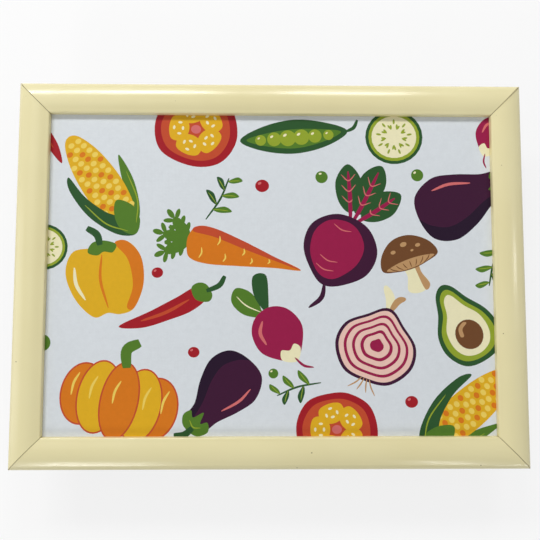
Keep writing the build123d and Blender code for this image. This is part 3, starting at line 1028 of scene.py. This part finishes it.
covers = {}
for name, half, away in (("cover_top", 1, hem_rise), ("cover_bottom", 0, -hem_rise)):
    panel = form.copy()
    half_of = panel.faces.layers.int["is_top"]
    others = [face for face in panel.faces if face[half_of] != half]
    bmesh.ops.delete(panel, geom=others, context="FACES")
    crease = panel.edges.layers.float.new("crease_edge")
    rim = [edge for edge in panel.edges if edge.is_boundary]
    for edge in rim:
        edge[crease] = 0.6
    turned_in = bmesh.ops.extrude_edge_only(panel, edges=rim)["geom"]
    for v in verts_of(turned_in):
        share = Vector((v.co.x / seam_half.x, v.co.y / seam_half.y))
        outward = Vector((share.x**7, share.y**7)).normalized()
        v.co += Vector((*(-outward * allowance), away))
    piece = add_piece(panel, name, f"{name}_panel")
    rounder = piece.modifiers.new("rounder", "SUBSURF")
    rounder.levels = rounder.render_levels = 1
    thicken(piece, cover_thickness)
    covers[name] = piece
form.free()
print("made", len(covers), "cover panels")

# %% [markdown]
# ## Woven cloth
# Plain weave passes each thread over one and under the next. The pattern follows the flat
# cloth as it was cut, which each panel keeps as a UV map in metres, so the threads bend
# with the cushion. Two rows of rounded threads cross, and a checker says which is on top.
# The dips between the threads are painted darker and their crowns a little lighter, as
# painted shade and light.

# %% Woven cloth
def woven(name, warp, weft, thread, roughness=0.85, uneven=0.12):
    """Plain-woven cloth, by the colours of its two threads and their spacing in metres."""
    material, tree, shader, place = start_material(name, roughness)
    flat = put(tree, "ShaderNodeUVMap", uv_map="cloth").outputs[0]
    scaled = put(tree, "ShaderNodeVectorMath", {0: flat, "Scale": 1 / thread}, operation="SCALE")
    threads = scaled.outputs[0]
    across = put(tree, "ShaderNodeSeparateXYZ", {0: threads}).outputs
    rounds = []
    for count in (across[0], across[1]):
        wave = math_node(tree, "SINE", math_node(tree, "MULTIPLY", count, math.pi))
        rounds.append(math_node(tree, "ABSOLUTE", wave))
    arches = [spread(tree, r, 0, 1, 0.6, 1.0) for r in rounds]
    checker = put(tree, "ShaderNodeTexChecker", {"Vector": threads, "Scale": 1.0}).outputs["Fac"]
    on_top = [math_node(tree, "MULTIPLY", rounds[i], arches[1 - i]) for i in (0, 1)]
    height = mix_values(tree, checker, *on_top)
    colour = mix(tree, checker, linear(*warp), linear(*weft))
    # Painted shade and light: the weave's height darkens the dips between threads and lightens
    # their crowns. The slubs and fading below are the yarn's own tone.
    shade = spread(tree, height, 0, 1, 0.55, 1.08)
    for axis in (0, 1):
        slubs = noise_at(tree, drawn_out(tree, threads, 0.06, axis), 0.7)
        slubs = spread(tree, slubs, 0.3, 0.7, 1 - uneven, 1 + uneven)
        shade = math_node(tree, "MULTIPLY", shade, slubs)
    faded = spread(tree, noise_at(tree, place, 14, detail=4), 0.3, 0.7, 0.93, 1.07)
    shade = math_node(tree, "MULTIPLY", shade, faded)
    drive(tree, shader, shaded(tree, colour, shade))
    fluff = raise_by(tree, shader, noise_at(tree, place, 900, detail=2), 0.05 * mm, 0.3)
    raise_by(tree, shader, height, 0.35 * thread, 0.9, under=fluff)
    shader.inputs["Sheen Weight"].default_value = 0.25
    shader.inputs["Sheen Roughness"].default_value = 0.45
    return material


cover_thread, bag_thread = 0.9 * mm, 0.5 * mm
blue_cotton = woven("blue_cotton", (58, 96, 136), (88, 124, 160), cover_thread)
for cover in covers.values():
    dress(cover, blue_cotton)
undyed_cotton = woven("undyed_cotton", (226, 220, 206), (236, 232, 220), bag_thread, uneven=0.06)
dress(bag, undyed_cotton)
print(round(1 / cover_thread / 100, 1), "threads to the centimetre in the cover")

# %% [markdown]
# ## Loose beads
# The beads press on one another and show as a packed, pebbled surface. Cells around
# scattered points give just that, as high in each middle as a bead is round. The colour is
# grey between the beads and white in their middles, as painted shade.

# %% Beads
bead_foam, tree, shader, place = start_material("bead_foam", roughness=0.6)
beads_per_metre = 330
lump = spread(tree, cells_at(tree, place, beads_per_metre)["Distance"], 0.0, 0.75, 1.0, 0.0)
# Painted shade: grey where the beads meet, white in their middles.
drive(tree, shader, mix(tree, lump, linear(206, 207, 206), linear(246, 246, 243)))
raise_by(tree, shader, lump, 1.2 * mm, 0.8)
dress(beads, bead_foam)
print("the beads are about", round(1000 / beads_per_metre), "mm wide")

# %% [markdown]
# ## Loop strips
# The soft half of each touch-close tape is sewn on the cushion, all round. A flat grid cell
# gets its corners rounded, is raised to the tape's thickness, and loses its sharp upper
# edge. The pile is a mass of loops too small to model, so the finish makes it.

# %% Loop pile
loop_pile, tree, shader, place = start_material("loop_pile", roughness=0.95)
curls = cells_at(tree, place, 1300, feature="SMOOTH_F1")["Distance"]
tufts = noise_at(tree, place, 260, detail=3)
colour = two_tone(tree, curls, 0.1, 0.7, (52, 62, 78), (26, 31, 42))
drive(tree, shader, stained(tree, colour, tufts, 0.35, 0.7, 0.5, (74, 84, 100)))
matted = raise_by(tree, shader, tufts, 0.5 * mm, 0.6)
raise_by(tree, shader, curls, 0.25 * mm, 0.8, under=matted)
shader.inputs["Sheen Weight"].default_value = 0.5
shader.inputs["Sheen Roughness"].default_value = 0.6

# %% Loop strips
strip_corner = 1.5 * mm
strip_edge = 0.3 * mm

strip_names = [f"loop_strip_{side}" for side in sides]
for name in strip_names:
    low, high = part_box(name)
    foot = Vector(((low.x + high.x) / 2, (low.y + high.y) / 2, low.z))
    strip = bmesh.new()
    bmesh.ops.create_grid(strip, x_segments=1, y_segments=1, size=0.5)
    bmesh.ops.scale(strip, verts=strip.verts, vec=high - low)
    bmesh.ops.translate(strip, verts=strip.verts, vec=foot)
    bmesh.ops.bevel(
        strip, geom=strip.verts[:], affect="VERTICES", offset=strip_corner,
        segments=4, profile=0.5, material=-1,
    )
    raised = bmesh.ops.extrude_face_region(strip, geom=strip.faces[:], use_keep_orig=True)["geom"]
    upper = verts_of(raised)
    bmesh.ops.translate(strip, verts=upper, vec=(0, 0, high.z - low.z))
    bmesh.ops.recalc_face_normals(strip, faces=strip.faces)
    brim = [
        edge for edge in strip.edges
        if all(v in upper for v in edge.verts) and len(edge.link_faces) == 2
    ]
    bmesh.ops.bevel(
        strip, geom=brim, affect="EDGES", offset=strip_edge,
        segments=2, profile=0.5, material=-1,
    )
    dress(add_piece(strip, f"{name}_pile", name, smooth=False), loop_pile)
print("made", len(strip_names), "loop strips")

# %% [markdown]
# ## Zip tapes
# Each half of the zip has a woven tape that starts at its teeth and is sewn under the hem
# of the slot. It is a strip of cloth bent along its length, so a flat grid is laid out
# along the zip, and its rows follow a line drawn across the tape.

# %% Zip tapes
tape_thickness, tape_thread = 0.5 * mm, 0.45 * mm
ripple_height, ripples = 0.1, 70
across_tape = [(151.2, 2.25), (151.15, 3.0), (150.7, 4.6), (150.1, 6.2), (149.6, 8.4)]
starts_at, runs_over = across_tape[0][1], 4

dark_tape = woven("dark_tape", (34, 46, 66), (44, 58, 80), tape_thread, roughness=0.7, uneven=0.05)
for name, side in (("zip_tape_upper", 1), ("zip_tape_lower", -1)):
    tape = bmesh.new()
    tape_uv = tape.loops.layers.uv.new("cloth")
    last_line = len(across_tape) - 1
    bmesh.ops.create_grid(tape, x_segments=150, y_segments=last_line, size=1)
    for v in tape.verts:
        y, up_tape = across_tape[round((v.co.y + 1) / 2 * last_line)]
        y += ripple_height * math.sin(v.co.x * ripples) * (up_tape - starts_at) / runs_over
        v.co = (v.co.x * zip_half, y * mm, seam_height + side * up_tape * mm)
    for face in tape.faces:
        for loop in face.loops:
            loop[tape_uv].uv = (loop.vert.co.x, loop.vert.co.z)
    if side > 0:
        bmesh.ops.reverse_faces(tape, faces=tape.faces)
    piece = add_piece(tape, f"{name}_cloth", name)
    thicken(piece, tape_thickness)
    dress(piece, dark_tape)
print("the tapes are", round(2 * zip_half / mm), "mm long")

# %% [markdown]
# ## Zip: teeth and metal
# The moulded teeth are a glossy plastic with the tiny waviness of a shrunk casting. The
# slider, its puller and the stops are nickel plated: a mirror with fine rubbed scratches.

# %% Zip finishes
moulded_teeth, tree, shader, place = start_material("moulded_teeth", roughness=0.3)
shrunk = noise_at(tree, place, 700, detail=2)
colour = two_tone(tree, shrunk, 0.3, 0.7, (38, 52, 76), (54, 70, 96))
drive(tree, shader, colour, spread(tree, shrunk, 0.3, 0.7, 0.24, 0.42))
raise_by(tree, shader, shrunk, 0.08 * mm, 0.4)
for name in ("zip_teeth_upper", "zip_teeth_lower"):
    dress(nodes[name], moulded_teeth)


def rubbed_metal(name, bright, dull, grain, roughness):
    """Metal with fine scratches along X and a faint cloudiness."""
    material, tree, shader, place = start_material(name, roughness, metallic=1.0)
    scratches = noise_at(tree, drawn_out(tree, place, 0.08), grain, detail=3, roughness=0.7)
    clouds = noise_at(tree, place, 160, detail=3)
    worn = spread(tree, scratches, 0.35, 0.65, roughness * 0.8, roughness * 1.5)
    drive(tree, shader, two_tone(tree, clouds, 0.3, 0.7, bright, dull), worn)
    raise_by(tree, shader, scratches, 0.015 * mm, 0.5)
    return material


nickel = rubbed_metal("nickel_plate", (214, 212, 206), (196, 194, 188), 2600, 0.2)
metal_names = ("zip_stops", "zip_slider", "zip_puller")
for name in metal_names:
    dress(nodes[name], nickel)
print("plated", len(metal_names), "pieces of the zip")

# %% [markdown]
# ## Under the tray
# The board is raw fibreboard, speckled with fibres. Brown paper closes its underside. Steel
# V-nails hold the mitres, and steel points and staples hold the board and the hook strips.

# %% Fasteners and board
steel = rubbed_metal("bright_steel", (190, 192, 194), (150, 152, 155), 1800, 0.32)
for name in ("corner_v_nails", "framer_points", "strip_staples"):
    dress(nodes[name], steel)

fibreboard, tree, shader, place = start_material("fibreboard", roughness=0.85)
fibres = noise_at(tree, place, 900, detail=4, roughness=0.7)
matted = noise_at(tree, place, 45, detail=3)
colour = two_tone(tree, fibres, 0.32, 0.68, (120, 86, 56), (172, 134, 94))
drive(tree, shader, stained(tree, colour, matted, 0.3, 0.7, 0.35, (104, 74, 48)))
raise_by(tree, shader, fibres, 0.08 * mm, 0.6)
dress(nodes["tray_board"], fibreboard)
print("mixed the fibreboard from", len(tree.nodes), "nodes")

# %% Backing and hook strips
kraft, tree, shader, place = start_material("kraft_paper", roughness=0.78)
pulp = noise_at(tree, drawn_out(tree, place, 0.12), 700, detail=3)
flecks = noise_at(tree, place, 1500, detail=2)
colour = two_tone(tree, pulp, 0.3, 0.7, (166, 128, 88), (192, 154, 112))
drive(tree, shader, stained(tree, colour, flecks, 0.66, 0.72, 0.6, (110, 78, 50)))
raise_by(tree, shader, noise_at(tree, place, 30, detail=3), 0.4 * mm, 0.4)
dress(nodes["backing_sheet"], kraft)

hook_tape, tree, shader, place = start_material("hook_tape", roughness=0.5)
hooks = cells_at(tree, place, 620, randomness=0.12)["Distance"]
tip = spread(tree, hooks, 0.22, 0.42, 1.0, 0.0)
# Painted light and shade: lighter on the raised hooks and darker on the base between them.
drive(tree, shader, mix(tree, tip, linear(22, 25, 32), linear(70, 76, 88)))
raise_by(tree, shader, tip, 0.6 * mm, 1.0)
for side in sides:
    dress(nodes[f"hook_strip_{side}"], hook_tape)
print("dressed the backing and", len(sides), "hook strips")

# %% [markdown]
# ## Stitches
# A stitch is a short, round bead of thread that dips into the cloth at both ends. One small
# sphere is stretched for each, laid along its line and sunk by a third. Rays cast on the
# cover find where its surface is.

# %% Stitches
stitch_pitch = 3.2 * mm
stitch_length = 2.5 * mm
thread_width = 0.55 * mm
stands_out = 0.12 * thread_width

one = bmesh.new()
bmesh.ops.create_uvsphere(one, u_segments=6, v_segments=4, radius=1)
one_stitch = bpy.data.meshes.new("one_stitch")
one.to_mesh(one_stitch)
one.free()


def sew(bm, start, end, surface=None, look=None, normal=None):
    """Sew a straight row from start to end, on a surface seen along look or on a flat one."""
    count = max(1, round((end - start).length / stitch_pitch))
    along = (end - start).normalized()
    for i in range(count):
        spot = start + (end - start) * ((i + 0.5) / count)
        out = normal
        if surface:
            spot, out, _, _ = surface.ray_cast(spot, look)
            if spot is None:
                continue
        run = (along - out * along.dot(out)).normalized()
        turn = Matrix((run, out.cross(run), out)).transposed().to_4x4()
        size = Matrix.Diagonal((stitch_length / 2, thread_width / 2, thread_width / 2, 1))
        lay = Matrix.Translation(spot + out * stands_out) @ turn @ size
        laid = one_stitch.copy()
        laid.transform(lay)
        bm.from_mesh(laid)
        bpy.data.meshes.remove(laid)
    return count


cotton_thread, tree, shader, place = start_material("cotton_thread", roughness=0.7)
sockets = {"Vector": place, "Scale": 900.0, "Distortion": 0.5}
twist = put(tree, "ShaderNodeTexWave", sockets, bands_direction="DIAGONAL").outputs["Fac"]
# Painted shade and light: darker in the grooves of the twist and lighter on its ridges.
drive(tree, shader, mix(tree, twist, linear(40, 62, 92), linear(104, 132, 162)))
raise_by(tree, shader, twist, 0.1 * mm, 0.6)

print("one stitch has", len(one_stitch.polygons), "faces")

# %% [markdown]
# ## Rows of stitches
# One row holds the zip: along the slot above and below, and down its two ends. Its line is
# seen from behind, where the rays start. Four rows around each loop strip hold the strip.

# %% Rows of stitches
hem_reach = slot_half_height + 2.4 * mm
near_seam = 1.4 * mm
past_zip = 2 * mm
behind = 0.2
strip_margin = Vector((2, 2, 0)) * mm

scene_now = bpy.context.evaluated_depsgraph_get()
hem = bmesh.new()
end = zip_half + past_zip
forward, upward = Vector((0, -1, 0)), Vector((0, 0, 1))
sewn = 0
for half, side in (("cover_top", 1), ("cover_bottom", -1)):
    skin = BVHTree.FromObject(covers[half], scene_now)
    row = seam_height + side * hem_reach
    turn_in = seam_height + side * near_seam
    sewn += sew(hem, Vector((-end, behind, row)), Vector((end, behind, row)), skin, forward)
    for x in (-end, end):
        sewn += sew(hem, Vector((x, behind, turn_in)), Vector((x, behind, row)), skin, forward)
dress(add_piece(hem, "zip_stitches", None), cotton_thread)

tacks = bmesh.new()
for name in strip_names:
    low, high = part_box(name)
    low, high = low + strip_margin, high - strip_margin
    ring = [(low.x, low.y), (high.x, low.y), (high.x, high.y), (low.x, high.y)]
    for a, b in zip(ring, ring[1:] + ring[:1]):
        sewn += sew(tacks, Vector((*a, high.z)), Vector((*b, high.z)), normal=upward)
dress(add_piece(tacks, "strip_stitches", None), cotton_thread)
print(sewn, "stitches")
